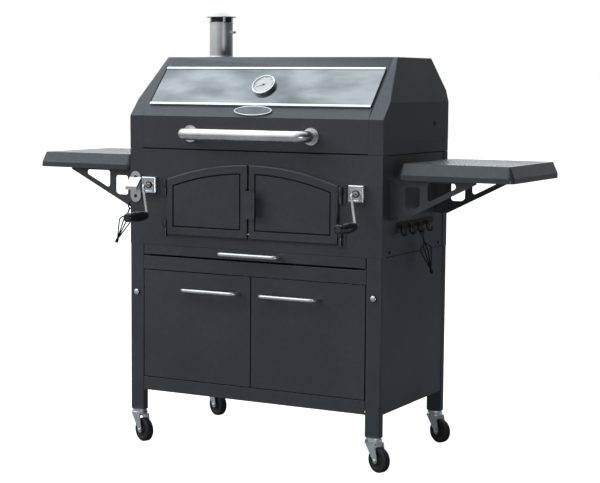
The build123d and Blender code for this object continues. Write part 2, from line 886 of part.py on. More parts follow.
with BuildPart() as ash_drawer_handle:
    handle_z = (drawer_front_z + drawer_top) / 2 + sheet
    ends = [(side * drawer_handle_half, front, handle_z) for side in (-1, 1)]
    bars = [(x, front - drawer_handle_reach, z) for x, y, z in ends]
    bent_rod((ends[0], bars[0], bars[1], ends[1]), drawer_handle_bend, drawer_handle_radius)
keep(ash_drawer_handle, "ash_drawer_handle")


# ---------------------------------------------------------------- cranks, pinions and trays
def involute(angle):
    return tan(angle) - angle


def pinion_outline():
    """Points of the pinion, centred on (0, 0), with one tooth along +x."""
    base_radius = pitch_radius * cos(radians(gear_pressure))
    tip_radius = pitch_radius + tooth_reach
    root_radius = pitch_radius - tooth_depth
    half_pitch = (tooth_pitch / 2 - gear_backlash) / 2 / pitch_radius
    at_base = half_pitch + involute(radians(gear_pressure))
    flank = [(root_radius, at_base)]
    steps = 3
    for step in range(steps + 1):
        radius = base_radius + (tip_radius - base_radius) * step / steps
        flank.append((radius, at_base - involute(acos(base_radius / radius))))
    points = []
    for tooth in range(gear_teeth):
        middle = 2 * pi * tooth / gear_teeth
        for radius, spread in flank:
            points.append((radius * cos(middle - spread), radius * sin(middle - spread)))
        for radius, spread in reversed(flank):
            points.append((radius * cos(middle + spread), radius * sin(middle + spread)))
    return points


def rack_outline(side):
    """Points of the rack in the (x, z) plane, its teeth turned to the crank shaft."""
    root_x = pitch_radius + tooth_depth
    tip_x = pitch_radius - tooth_reach
    slant = tan(radians(gear_pressure))
    half_root = tooth_pitch / 4 + tooth_depth * slant - gear_backlash / 4
    half_tip = tooth_pitch / 4 - tooth_reach * slant - gear_backlash / 4
    count = int((tray_travel + rack_above) // tooth_pitch) + 1
    points = [(root_x, rack_above)]
    for tooth in range(count):
        middle = -(tooth + 0.5) * tooth_pitch
        points.append((root_x, middle + half_root))
        points.append((tip_x, middle + half_tip))
        points.append((tip_x, middle - half_tip))
        points.append((root_x, middle - half_root))
    foot = tray_bottom - crank_z
    points += [(root_x, foot), (root_x + rack_back, foot), (root_x + rack_back, rack_above)]
    return [(side * (crank_x + x), crank_z + z) for x, z in points]


tilt = radians(crank_tilt)
arm_y = front - crank_arm_reach
gear_y = front + gear_front
for side, name in ((-1, "left"), (1, "right")):
    hub_x = side * crank_x
    pin_x = hub_x + crank_arm_length * sin(tilt)
    pin_z = crank_z - crank_arm_length * cos(tilt)
    grip_start = arm_y - crank_bend - touch
    grip_end = grip_start - grip_length
    recess_floor = grip_end + grip_recess_depth

    with BuildPart() as crank:
        head_y = recess_floor - fit_gap
        route = (
            (hub_x, front + crank_inner_reach, crank_z),
            (hub_x, arm_y, crank_z),
            (pin_x, arm_y, pin_z),
            (pin_x, head_y, pin_z),
        )
        bent_rod(route, crank_bend, crank_radius)
        rod((pin_x, head_y, pin_z), (pin_x, head_y - spindle_head, pin_z), spindle_head_radius)
        with BuildSketch(Plane(origin=(hub_x, gear_y, crank_z), x_dir=(1, 0, 0), z_dir=(0, 1, 0))):
            Polygon(*pinion_outline(), align=None)
        extrude(amount=gear_width)
    keep(crank, f"crank_{name}")

    with BuildPart() as crank_grip:
        lengthwise = Plane(origin=(pin_x, grip_start, pin_z), x_dir=(0, -1, 0), z_dir=(0, 0, 1))
        with BuildSketch(lengthwise):
            with BuildLine():
                bore = crank_radius + running_gap
                bulge = (grip_length / 4, grip_mid_radius)
                waist = (grip_waist, grip_waist_radius)
                disc = (grip_waist + grip_disc_edge, grip_disc_radius)
                tip = (grip_length - grip_disc_edge, grip_disc_radius)
                nose = (grip_length, grip_disc_radius - grip_disc_edge)
                Polyline((0, grip_base_radius), (0, bore), (grip_length, bore), nose, tip, disc, waist)
                Spline((0, grip_base_radius), bulge, waist)
            make_face()
        revolve(axis=Axis((pin_x, 0, pin_z), (0, -1, 0)))
        rod((pin_x, grip_end, pin_z), (pin_x, recess_floor, pin_z), grip_recess_radius, mode=Mode.SUBTRACT)
    keep(crank_grip, f"crank_grip_{name}")

    with BuildPart() as charcoal_tray:
        tray_x = (tray_middle_gap / 2, side_face - sheet - tray_side_gap)
        tray_y = (tray_inner_front, tray_inner_back)
        tray_z = (tray_bottom, tray_bottom + tray_height)
        block(sided(side, *tray_x), tray_y, tray_z)
        block(
            sided(side, tray_x[0] + sheet, tray_x[1] - sheet),
            (tray_y[0] + sheet, tray_y[1] - sheet),
            (tray_bottom + sheet, tray_z[1]),
            mode=Mode.SUBTRACT,
        )
        span = (tray_x[1] - tray_x[0]) / tray_slot_columns
        run = (tray_y[1] - tray_y[0]) / tray_slot_rows
        with BuildSketch(Plane.XY.offset(tray_bottom)):
            with Locations((side * (tray_x[0] + tray_x[1]) / 2, (tray_y[0] + tray_y[1]) / 2)):
                with GridLocations(span, run, tray_slot_columns, tray_slot_rows):
                    Rectangle(tray_slot_width, 0.8 * run)
        extrude(amount=sheet, mode=Mode.SUBTRACT)
        with BuildSketch(facing(tray_inner_front)):
            Polygon(*rack_outline(side), align=None)
        extrude(amount=tray_inner_front - gear_y)
        lug_z = (tray_z[1] - lug_height, tray_z[1])
        for edge in (-1, 1):
            offset = guide_width / 2 + fit_gap
            near = guide_front_x + edge * offset
            lug_x = sided(side, *sorted((near, near + edge * lug_thick)))
            lug_y = (wall_front + guide_depth - lug_overlap, tray_inner_front)
            block(lug_x, lug_y, lug_z)
            for x in guide_rear_x:
                near = x + edge * offset
                lug_x = sided(side, *sorted((near, near + edge * lug_thick)))
                lug_y = (tray_inner_back, wall_back - guide_depth + lug_overlap)
                block(lug_x, lug_y, lug_z)
    keep(charcoal_tray, f"charcoal_tray_{name}")

with BuildPart() as crank_bezels:
    for side in (-1, 1):
        with BuildSketch(facing(front)):
            with Locations((side * crank_x, crank_z)):
                Rectangle(bezel_size, bezel_size)
        extrude(amount=bezel_depth)
    chamfer(crank_bezels.faces().sort_by(Axis.Y)[:2].edges(), length=2)
    hollow_size = bezel_size - 2 * bezel_rim
    with BuildSketch(facing(front - bezel_depth)):
        for side in (-1, 1):
            with Locations((side * crank_x, crank_z)):
                Rectangle(hollow_size, hollow_size)
                Circle(bezel_collar_radius, mode=Mode.SUBTRACT)
    extrude(amount=-bezel_recess, mode=Mode.SUBTRACT)
    for side in (-1, 1):
        centre = (side * crank_x, front, crank_z)
        bore = crank_radius + running_gap
        rod(centre, (centre[0], front - bezel_depth, crank_z), bore, mode=Mode.SUBTRACT)
keep(crank_bezels, "crank_bezels")

# ---------------------------------------------------------------- side shelves and brackets
shelf_x = (half + shelf_gap, half + shelf_gap + shelf_length)
shelf_y = (front + shelf_front, front + shelf_front + shelf_depth)
shelf_bottom = shelf_top - shelf_bevel_drop - shelf_skirt
bevel_angle = degrees(atan2(shelf_bevel_in, shelf_bevel_drop))


def shelf_solid(side, inset, low, mode):
    """Shelf body: a short skirt with a bevelled upper part, drawn in by inset."""
    size = (shelf_length - 2 * inset, shelf_depth - 2 * inset)
    skirt_top = shelf_top - shelf_bevel_drop
    centre = (side * (shelf_x[0] + shelf_x[1]) / 2, (shelf_y[0] + shelf_y[1]) / 2)
    with BuildSketch(Plane.XY.offset(low)) as foot:
        with Locations(centre):
            RectangleRounded(*size, shelf_corner - inset)
    extrude(foot.sketch, amount=skirt_top - low, mode=mode)
    with BuildSketch(Plane.XY.offset(skirt_top)) as crown:
        with Locations(centre):
            RectangleRounded(*size, shelf_corner - inset)
    extrude(crown.sketch, amount=shelf_bevel_drop - inset, taper=bevel_angle, mode=mode)


for side, node in ((-1, "side_shelf_left"), (1, "side_shelf_right")):
    with BuildPart() as side_shelf:
        shelf_solid(side, 0, shelf_bottom, Mode.ADD)
        shelf_solid(side, sheet, shelf_bottom, Mode.SUBTRACT)
    keep(side_shelf, node)

def bracket_holes(side):
    """Cuts the two openings of a shelf bracket, both held above its slanted lower edge."""
    first = half + bracket_hole_from + bracket_hole_width / 2
    second = first + (bracket_hole_width + bracket_hole_length) / 2 + bracket_hole_post
    level = shelf_top - bracket_hole_down - bracket_hole_height / 2
    low_z = bracket_bottom + bracket_hole_margin
    far = half + bracket_reach
    far_z = bracket_nose_z + bracket_hole_margin
    start = half + bracket_toe
    with BuildSketch(facing(front), mode=Mode.PRIVATE) as holes:
        with Locations((side * first, level - bracket_hole_step / 2)):
            Rectangle(bracket_hole_width, bracket_hole_height - bracket_hole_step)
        with Locations((side * second, level)):
            Rectangle(bracket_hole_length, bracket_hole_height)
        with BuildLine():
            edge = ((start, low_z), (far, far_z), (far, shelf_top), (start, shelf_top))
            Polyline(*[(side * x, z) for x, z in edge], close=True)
        make_face(mode=Mode.INTERSECT)
        fillet(holes.vertices(), radius=bracket_hole_corner)
    add(holes.sketch_local, mode=Mode.SUBTRACT)


with BuildPart() as shelf_brackets:
    shelf_under = shelf_top - sheet
    nose_x = half + bracket_reach
    toe_x = half + bracket_toe
    bevel_edge = shelf_x[0] + shelf_bevel_in + 2 * sheet
    for side in (-1, 1):
        for y in (front + bracket_front, back - bracket_rear):
            with BuildSketch(facing(y)):
                with BuildLine():
                    outline = (
                        (side_face, bracket_bottom),
                        (toe_x, bracket_bottom),
                        (nose_x, bracket_nose_z),
                        (nose_x, shelf_under),
                        (bevel_edge, shelf_under),
                        (bevel_edge, shelf_bottom - fit_gap),
                        (side_face, shelf_bottom - fit_gap),
                    )
                    Polyline(*[(side * x, z) for x, z in outline], close=True)
                make_face()
                bracket_holes(side)
            extrude(amount=-bracket_thick)
            flange_y = (y, y + bracket_flange)
            flange_z = (bracket_bottom, shelf_bottom - fit_gap)
            block(sided(side, side_face, side_face + bracket_thick), flange_y, flange_z)
            block(sided(side, bevel_edge, nose_x), flange_y, (shelf_under - bracket_thick, shelf_under))
    # small hook under the left front bracket
    peg = (-half - bracket_toe + bracket_hook_in, bracket_bottom + bracket_hook_up)
    hook_tip_y = front + bracket_front - bracket_hook_out
    route = (
        (peg[0], front + bracket_front + bracket_thick / 2, peg[1]),
        (peg[0], hook_tip_y, peg[1]),
        (peg[0], hook_tip_y, peg[1] + hook_tip),
    )
    bent_rod(route, hook_bend - touch, hook_wire_radius)
keep(shelf_brackets, "shelf_brackets")

# ---------------------------------------------------------------- hook rails and grate lifters
hook_y = [front + hook_centre + (i - (hook_count - 1) / 2) * hook_pitch for i in range(hook_count)]
hook_start_x = side_face + hook_rail_thick
hook_low_z = hook_rail_z - hook_drop
with BuildPart() as hook_rails:
    for side in (-1, 1):
        middle = front + hook_rail_centre
        rail_y = (middle - hook_rail_length / 2, middle + hook_rail_length / 2)
        rail_z = (hook_rail_z, hook_rail_z + hook_rail_height)
        block(sided(side, side_face, hook_start_x), rail_y, rail_z)
        for y in hook_y:
            route = (
                (side * (hook_start_x - 1), y, hook_rail_z + hook_rail_height / 2),
                (side * (hook_start_x + hook_bend), y, hook_rail_z + hook_rail_height / 2),
                (side * (hook_start_x + hook_bend), y, hook_low_z),
                (side * (hook_start_x + hook_bend + hook_reach), y, hook_low_z),
                (side * (hook_start_x + hook_bend + hook_reach), y, hook_low_z + hook_tip),
            )
            bent_rod(route, hook_bend - 0.5, hook_wire_radius)
keep(hook_rails, "hook_rails")

ring_inner = lifter_ring_radius - lifter_wire_radius
ring_drop = ring_inner - hook_wire_radius - fit_gap


def grate_lifter(node, pivot, across, down):
    """Wire lifter that hangs at pivot from a hook whose wire runs along across."""
    with BuildPart() as lifter:
        along = Vector(*down).normalized()
        ring = Vector(*pivot) + along * ring_drop
        with Locations(Plane(origin=ring, z_dir=across)):
            Torus(lifter_ring_radius, lifter_wire_radius)
        neck = ring + along * lifter_ring_radius
        head = neck + along * lifter_shank
        foot = head + along * lifter_cage
        rod(tuple(neck), tuple(head + along * lifter_wire_radius), lifter_wire_radius + touch)
        turned = Plane(origin=head, z_dir=along)
        for wire in range(lifter_wires):
            angle = radians(45 + 360 * wire / lifter_wires)
            out = turned.x_dir * cos(angle) + turned.y_dir * sin(angle)
            shoulder = head + along * lifter_shoulder + out * lifter_bulge
            with BuildLine() as curve:
                FilletPolyline(head, shoulder, foot, radius=lifter_shoulder_bend)
            with BuildSketch(Plane(origin=head, z_dir=curve.line % 0)) as section:
                Circle(lifter_wire_radius)
            sweep(section.sketch, path=curve.line)
        tip = foot + along * lifter_tip
        rod(tuple(foot - along * lifter_wire_radius), tuple(tip), lifter_tip_radius)
    keep(lifter, node)


# the right one hangs on the third hook of its rail, the left one on the bracket's hook
hook_middle_x = hook_start_x + hook_bend + hook_reach / 2
hook_pivot = (hook_middle_x, hook_y[2], hook_low_z)
tilt_side = sin(radians(lifter_tilt))
tilt_down = cos(radians(lifter_tilt))
tilted_wire = (tilt_down, 0, tilt_side)
back_lean = sin(radians(lifter_back_lean))
grate_lifter("grate_lifter_right", hook_pivot, tilted_wire, (tilt_side, back_lean, -tilt_down))
hook_face_y = front + bracket_front
bracket_pivot = (
    -half - bracket_toe + bracket_hook_in,
    hook_face_y - bracket_hook_out / 2,
    bracket_bottom + bracket_hook_up,
)
lean_side = sin(radians(lifter_lean))
grate_lifter("grate_lifter_left", bracket_pivot, (0, 1, 0), (-lean_side, 0, -cos(radians(lifter_lean))))

# ---------------------------------------------------------------- bottle opener
with BuildPart() as bottle_opener:
    with BuildSketch(facing(front)):
        with Locations((opener_x, opener_z)):
            SlotOverall(opener_height, opener_width, rotation=90)
    extrude(amount=opener_thick)
    with BuildSketch(Plane.YZ.offset(opener_x - opener_lip_width / 2)):
        with BuildLine():
            plate = front - opener_thick
            lip = front - opener_thick - opener_lip
            Polyline(
                (plate + touch, opener_z + 30),
                (lip, opener_z + 2),
                (lip, opener_z - 9),
                (lip + 4, opener_z - 9),
                (lip + 5, opener_z - 2),
                (plate - 4, opener_z + 14),
                (plate + touch, opener_z + 14),
                close=True,
            )
        make_face()
    extrude(amount=opener_lip_width)
keep(bottle_opener, "bottle_opener")

# ---------------------------------------------------------------- casters
plate_bottom = leg_bottom - caster_plate_thick
race_top = plate_bottom - fit_gap
bridge_top = race_top - race_height
bridge_bottom = bridge_top - fork_bridge
head_top = bridge_bottom - fit_gap
turn = radians(caster_turn)
trail_dir = Vector(cos(turn), sin(turn), 0)
axle_dir = Vector(-sin(turn), cos(turn), 0)
corners = {
    "front_left": (-half + leg_width / 2, front + leg_depth / 2),
    "front_right": (half - leg_width / 2, front + leg_depth / 2),
    "rear_left": (-half + leg_width / 2, back - leg_depth / 2),
    "rear_right": (half - leg_width / 2, back - leg_depth / 2),
}

with BuildPart() as caster_plates:
    for x, y in corners.values():
        rod((x, y, plate_bottom), (x, y, leg_bottom), caster_plate_radius)
        rod((x, y, head_top - kingpin_head), (x, y, leg_bottom), kingpin_radius)
        rod((x, y, head_top - kingpin_head), (x, y, head_top), kingpin_head_radius)
keep(caster_plates, "caster_plates")

for corner, (x, y) in corners.items():
    stem = Vector(x, y, 0)
    axle = stem + trail_dir * caster_trail + Vector(0, 0, wheel_radius)
    fork_inner = wheel_width / 2 + fork_inner_gap
    fork_outer = fork_inner + fork_plate

    with BuildPart() as caster_fork:
        rod((x, y, bridge_top), (x, y, race_top), race_radius)
        level = Plane(origin=(x, y, bridge_bottom), x_dir=trail_dir, z_dir=(0, 0, 1))
        with BuildSketch(level):
            Rectangle(2 * fork_half_length, 2 * fork_outer)
        extrude(amount=fork_bridge)
        for cheek in (-fork_outer, fork_inner):
            upright = Plane(origin=stem + axle_dir * cheek, x_dir=trail_dir, z_dir=axle_dir)
            with BuildSketch(upright):
                with BuildLine():
                    nose = Vector(caster_trail, -wheel_radius)
                    Polyline(
                        (caster_trail + fork_nose_radius, -wheel_radius),
                        (fork_half_length + 4, -bridge_top),
                        (-fork_half_length, -bridge_top),
                        (caster_trail - fork_nose_radius, -wheel_radius),
                    )
                    ThreePointArc(
                        (caster_trail - fork_nose_radius, -wheel_radius),
                        (caster_trail, -wheel_radius + fork_nose_radius),
                        (caster_trail + fork_nose_radius, -wheel_radius),
                    )
                make_face()
            extrude(amount=fork_plate)
        bore = kingpin_radius + running_gap
        rod((x, y, bridge_bottom), (x, y, race_top), bore, mode=Mode.SUBTRACT)
        bolt = axle_dir * (fork_outer + sheet)
        rod(tuple(axle - bolt), tuple(axle + bolt), axle_radius)
    keep(caster_fork, f"caster_fork_{corner}")

    with BuildPart() as caster_wheel:
        across = Plane(origin=axle, x_dir=axle_dir, z_dir=trail_dir)
        half_width = wheel_width / 2
        bore = axle_radius + running_gap
        with BuildSketch(across):
            with BuildLine():
                Polyline(
                    (half_width, wheel_radius - wheel_edge),
                    (half_width, wheel_radius - 2 * wheel_edge),
                    (half_width - wheel_dish, wheel_radius - 2 * wheel_edge - wheel_dish),
                    (half_width - wheel_dish, bore + 2 * wheel_dish),
                    (half_width, bore + wheel_dish),
                    (half_width, bore),
                    (-half_width, bore),
                    (-half_width, bore + wheel_dish),
                    (-half_width + wheel_dish, bore + 2 * wheel_dish),
                    (-half_width + wheel_dish, wheel_radius - 2 * wheel_edge - wheel_dish),
                    (-half_width, wheel_radius - 2 * wheel_edge),
                    (-half_width, wheel_radius - wheel_edge),
                )
                RadiusArc(
                    (-half_width, wheel_radius - wheel_edge),
                    (-half_width + wheel_edge, wheel_radius),
                    wheel_edge,
                )
                Line((-half_width + wheel_edge, wheel_radius), (half_width - wheel_edge, wheel_radius))
                RadiusArc(
                    (half_width - wheel_edge, wheel_radius),
                    (half_width, wheel_radius - wheel_edge),
                    wheel_edge,
                )
            make_face()
        revolve(axis=Axis(axle, axle_dir))
    keep(caster_wheel, f"caster_wheel_{corner}")

# ---------------------------------------------------------------- bolts
with BuildPart() as frame_bolts:
    for side, z in zip((-1, 1), leg_bolt_z):
        x = side * (half - leg_width / 2)
        rod((x, front, z), (x, front - bolt_head_height, z), bolt_head_radius)
        for y in (front + 2 * rim_flange, back - 2 * rim_flange):
            start = (side * side_face, y, side_bolt_z)
            end = (side * (side_face + bolt_head_height), y, side_bolt_z)
            rod(start, end, side_bolt_radius)
keep(frame_bolts, "frame_bolts")
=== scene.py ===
import json
import math

import bmesh
import bpy
from mathutils import Matrix, Vector


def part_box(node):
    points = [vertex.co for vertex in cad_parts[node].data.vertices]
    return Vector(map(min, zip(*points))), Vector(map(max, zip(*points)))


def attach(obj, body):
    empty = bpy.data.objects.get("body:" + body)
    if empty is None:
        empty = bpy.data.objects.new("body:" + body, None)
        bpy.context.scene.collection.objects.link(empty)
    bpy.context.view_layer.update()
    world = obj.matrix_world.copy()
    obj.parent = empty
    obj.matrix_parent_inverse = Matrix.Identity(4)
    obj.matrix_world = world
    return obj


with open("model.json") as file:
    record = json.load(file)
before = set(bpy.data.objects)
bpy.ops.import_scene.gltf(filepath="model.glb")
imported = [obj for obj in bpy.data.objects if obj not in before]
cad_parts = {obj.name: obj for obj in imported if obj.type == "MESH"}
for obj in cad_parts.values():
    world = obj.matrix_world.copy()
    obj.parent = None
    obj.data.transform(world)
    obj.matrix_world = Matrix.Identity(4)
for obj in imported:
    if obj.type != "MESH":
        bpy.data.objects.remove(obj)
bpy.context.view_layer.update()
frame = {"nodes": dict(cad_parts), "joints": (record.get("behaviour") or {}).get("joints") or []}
nodes = frame["nodes"]
scene = bpy.context.scene
scene.view_settings.view_transform = "Standard"
scene.view_settings.look = "None"


# ------------------------------------------------------------------ node helpers
def material(name):
    mat = bpy.data.materials.new(name)
    mat.use_nodes = True
    tree = mat.node_tree
    tree.nodes.clear()
    out = tree.nodes.new("ShaderNodeOutputMaterial")
    shader = tree.nodes.new("ShaderNodeBsdfPrincipled")
    tree.links.new(shader.outputs[0], out.inputs["Surface"])
    return mat, tree, shader


def add(tree, kind, **values):
    node = tree.nodes.new("ShaderNode" + kind)
    for key, value in values.items():
        if key in node.inputs:
            node.inputs[key].default_value = value
        else:
            setattr(node, key, value)
    return node


def coords(tree, scale=(1, 1, 1)):
    where = add(tree, "TexCoord")
    mapping = add(tree, "Mapping")
    mapping.inputs["Scale"].default_value = scale
    tree.links.new(where.outputs["Object"], mapping.inputs["Vector"])
    return mapping.outputs[0]


def noise(tree, vector, scale, detail=3.0, rough=0.5):
    node = add(tree, "TexNoise", Scale=scale, Detail=detail, Roughness=rough)
    tree.links.new(vector, node.inputs["Vector"])
    return node.outputs["Fac"]


def ramp(tree, fac, low, high, start=0.0, end=1.0):
    """Maps fac from the range start..end to low..high."""
    node = add(tree, "MapRange")
    node.inputs["From Min"].default_value = start
    node.inputs["From Max"].default_value = end
    node.inputs["To Min"].default_value = low
    node.inputs["To Max"].default_value = high
    tree.links.new(fac, node.inputs["Value"])
    return node.outputs[0]


def blend_colour(tree, fac, a, b):
    node = add(tree, "Mix", data_type="RGBA")
    node.inputs["A"].default_value = (*a, 1)
    node.inputs["B"].default_value = (*b, 1)
    tree.links.new(fac, node.inputs["Factor"])
    return node.outputs["Result"]


def math_node(tree, operation, a, b):
    node = add(tree, "Math", operation=operation)
    for slot, value in enumerate((a, b)):
        if isinstance(value, (int, float)):
            node.inputs[slot].default_value = value
        else:
            tree.links.new(value, node.inputs[slot])
    return node.outputs[0]


def bump(tree, shader, height, distance, strength):
    node = add(tree, "Bump", Distance=distance, Strength=strength)
    tree.links.new(height, node.inputs["Height"])
    tree.links.new(node.outputs[0], shader.inputs["Normal"])


# ------------------------------------------------------------------ materials
cloud_range = (0.3, 0.7)   # where most of a noise's values lie


def powder_coat(name, colour, rough, grain=1500.0, depth=0.00012):
    """Baked powder paint: fine orange peel, soft cloudy change of tone and gloss."""
    mat, tree, shader = material(name)
    at = coords(tree)
    cloud = noise(tree, at, 5.0, 4.0)
    dust = noise(tree, at, 60.0, 3.0, 0.6)
    tone = math_node(tree, "MULTIPLY", cloud, dust)
    light = tuple(c * 1.35 for c in colour)
    tint = blend_colour(tree, ramp(tree, tone, 0.0, 1.0, 0.12, 0.42), colour, light)
    tree.links.new(tint, shader.inputs["Base Color"])
    gloss = ramp(tree, cloud, rough - 0.05, rough + 0.06, *cloud_range)
    tree.links.new(gloss, shader.inputs["Roughness"])
    bump(tree, shader, noise(tree, at, grain, 2.0), depth, 0.35)
    return mat


def metal(name, colour, rough, stretch=(1, 1, 1), scale=900.0, depth=0.00004, spread=0.08):
    """Bare or plated metal, its brushing drawn out along the axis with the small stretch."""
    mat, tree, shader = material(name)
    at = coords(tree, stretch)
    fine = noise(tree, at, scale, 4.0, 0.6)
    cloud = noise(tree, coords(tree), 14.0, 3.0)
    dark = tuple(c * 0.8 for c in colour)
    tint = blend_colour(tree, ramp(tree, cloud, 0, 1, *cloud_range), dark, colour)
    tree.links.new(tint, shader.inputs["Base Color"])
    shader.inputs["Metallic"].default_value = 1.0
    brushing = ramp(tree, fine, -spread, spread, *cloud_range)
    wear = ramp(tree, cloud, rough - 0.03, rough + 0.04, *cloud_range)
    tree.links.new(math_node(tree, "ADD", brushing, wear), shader.inputs["Roughness"])
    bump(tree, shader, fine, depth, 0.3)
    return mat


def plastic(name, colour, rough, grain=700.0, depth=0.00008, coat=0.0):
    """Moulded plastic, rubber or felt: faint clouds and a fine grain."""
    mat, tree, shader = material(name)
    at = coords(tree)
    cloud = noise(tree, at, 25.0, 3.0)
    light = tuple(c * 1.8 + 0.002 for c in colour)
    tint = blend_colour(tree, ramp(tree, cloud, 0, 1, 0.35, 0.75), colour, light)
    tree.links.new(tint, shader.inputs["Base Color"])
    gloss = ramp(tree, cloud, rough - 0.04, rough + 0.08, *cloud_range)
    tree.links.new(gloss, shader.inputs["Roughness"])
    bump(tree, shader, noise(tree, at, grain, 2.0), depth, 0.4)
    shader.inputs["Coat Weight"].default_value = coat
    shader.inputs["Coat Roughness"].default_value = 0.08
    return mat


def mirror_glass():
    """Tinted window glass that mirrors the sky, with a painted reflection of clouds streaked
    through its colour.
    """
    mat, tree, shader = material("tinted_glass_painted_reflection")
    at = coords(tree)
    # painted reflection: stretched cloud shapes lighten the glass's colour from dark to pale grey
    painted_cloud_shapes = noise(tree, coords(tree, (1.0, 2.6, 2.6)), 5.5, 3.0, 0.45)
    cloud_reflection_mix = ramp(tree, painted_cloud_shapes, 0.0, 1.0, 0.34, 0.64)
    tint = blend_colour(tree, cloud_reflection_mix, (0.095, 0.105, 0.106), (0.25, 0.262, 0.252))
    tree.links.new(tint, shader.inputs["Base Color"])
    gloss = ramp(tree, noise(tree, at, 8.0, 3.0), 0.05, 0.11, *cloud_range)
    tree.links.new(gloss, shader.inputs["Roughness"])
    shader.inputs["Metallic"].default_value = 0.85
    shader.inputs["Coat Weight"].default_value = 0.4
    shader.inputs["Coat Roughness"].default_value = 0.03
    bump(tree, shader, noise(tree, at, 3.0, 2.0), 0.0006, 0.25)
    return mat


def pipe_steel(cap_start=1.3505, cap_full=1.3525):
    """Chimney steel. Above the two heights its weathered cap is duller than the pipe."""
    mat = metal("chimney_steel", (0.92, 0.92, 0.9), 0.36, (1, 1, 8))
    tree = mat.node_tree
    shader = next(n for n in tree.nodes if n.type == "BSDF_PRINCIPLED")
    clean = shader.inputs["Base Color"].links[0].from_socket
    where = add(tree, "TexCoord")
    split = add(tree, "SeparateXYZ")
    tree.links.new(where.outputs["Object"], split.inputs[0])
    dull = add(tree, "Mix", data_type="RGBA")
    dull.inputs["B"].default_value = (0.45, 0.46, 0.45, 1)
    in_cap = ramp(tree, split.outputs[2], 0.0, 1.0, cap_start, cap_full)
    tree.links.new(in_cap, dull.inputs["Factor"])
    tree.links.new(clean, dull.inputs["A"])
    tree.links.new(dull.outputs["Result"], shader.inputs["Base Color"])
    return mat


body = powder_coat("powder_coat_charcoal", (0.0295, 0.0338, 0.0385), 0.4)
bracket = powder_coat("powder_coat_bracket", (0.036, 0.039, 0.044), 0.4)
# dark powder coat of inner parts, also used as painted shade behind the chimney's vents
body_dark = powder_coat("powder_coat_inside_and_vent_shade", (0.012, 0.013, 0.014), 0.6)
shelf = powder_coat("powder_coat_shelf", (0.037, 0.042, 0.047), 0.29)
iron = powder_coat("cast_enamel", (0.012, 0.012, 0.012), 0.5, grain=500.0, depth=0.0004)
steel_x = metal("brushed_along_x", (0.82, 0.82, 0.8), 0.25, (0.03, 1, 1))
steel_z = metal("brushed_around_pipe", (0.92, 0.92, 0.9), 0.38, (1, 1, 8))
chrome = metal("polished_chrome", (0.88, 0.89, 0.9), 0.2, depth=0.00002, spread=0.03)
zinc = metal("zinc_plate", (0.86, 0.9, 0.91), 0.36, scale=200.0, spread=0.06)
dark_steel = metal("dark_hinge_steel", (0.11, 0.115, 0.125), 0.38, scale=600.0)
wire = metal("black_wire", (0.03, 0.031, 0.034), 0.32, scale=600.0)
satin = metal("satin_crank", (0.93, 0.93, 0.92), 0.42, scale=500.0)
trim = metal("bright_trim", (0.97, 0.97, 0.97), 0.38, (0.03, 1, 1))
opener_steel = metal("opener_steel", (0.78, 0.78, 0.77), 0.33, (1, 1, 0.05))
dial_grey = metal("dial_grey", (0.5, 0.49, 0.47), 0.4, scale=120.0, spread=0.15)
rubber = plastic("caster_rubber", (0.005, 0.005, 0.006), 0.6)
gloss_black = plastic("grip_black", (0.006, 0.006, 0.008), 0.2, coat=0.5)
# black for print and small black parts, also used as painted shade in the crank holes and the
# opener's screw holes
black_ink_and_shade = plastic("black_ink_and_shade", (0.02, 0.018, 0.018), 0.4)
badge_inset = plastic("badge_inset", (0.05, 0.055, 0.06), 0.3, coat=0.3)
# black felt for the window's rubber seals and the lid gasket, also used as painted shade in seams
# and grooves
seal_and_shade_black = plastic("black_seal_and_painted_shade", (0.0025, 0.0025, 0.003), 0.9, grain=300.0, depth=0.0004)
glass = mirror_glass()

corners = [f"{a}_{b}" for a in ("front", "rear") for b in ("left", "right")]
sides = (("left", -1), ("right", 1))


def finish(names, mat):
    """Gives CAD nodes their material."""
    for name in names.split():
        data = nodes[name].data
        if not data.materials:
            data.materials.append(mat)
        for slot in range(len(data.materials)):
            data.materials[slot] = mat


finish("""legs cabinet_rails cabinet_floor cabinet_side_left cabinet_side_right cabinet_back
    firebox_front firebox_back firebox_side_left firebox_side_right
    hood_panel hood_side_left hood_side_right fire_door_left fire_door_right
    cabinet_door_left cabinet_door_right ash_drawer""", body)
finish("shelf_brackets", bracket)
finish("hook_rails inner_guides charcoal_tray_left charcoal_tray_right", body_dark)
finish("side_shelf_left side_shelf_right", shelf)
finish("cooking_grate_left cooking_grate_right", iron)
finish("hood_handle cabinet_handle_left cabinet_handle_right ash_drawer_handle", steel_x)
finish("chimney chimney_damper", pipe_steel())
finish("crank_bezels thermometer badge_plate warming_rack", chrome)
finish("crank_left crank_right caster_plates", satin)
finish("bottle_opener", opener_steel)
finish("window_trim", trim)
finish("hood_window", glass)
finish("""fire_door_hinges cabinet_hinges hood_hinge_brackets frame_bolts
    fire_door_handle""", dark_steel)
finish(" ".join(f"caster_fork_{corner}" for corner in corners), zinc)
finish(" ".join(f"caster_wheel_{corner}" for corner in corners), rubber)
finish("crank_grip_left crank_grip_right", gloss_black)
finish("grate_lifter_left grate_lifter_right", wire)

# folded sheet edges catch the light
for name in """legs cabinet_rails cabinet_side_left cabinet_side_right cabinet_back
    firebox_front firebox_back firebox_side_left firebox_side_right
    hood_panel hood_side_left hood_side_right fire_door_left fire_door_right
    cabinet_door_left cabinet_door_right ash_drawer side_shelf_left side_shelf_right
    shelf_brackets crank_bezels fire_door_handle window_trim hood_window""".split():
    weld = nodes[name].modifiers.new("weld", "WELD")
    weld.merge_threshold = 0.00002
    soft = nodes[name].modifiers.new("soft_edges", "BEVEL")
    soft.width = 0.0009
    soft.segments = 2
    soft.limit_method = "ANGLE"
    soft.angle_limit = math.radians(28)
    soft.harden_normals = False


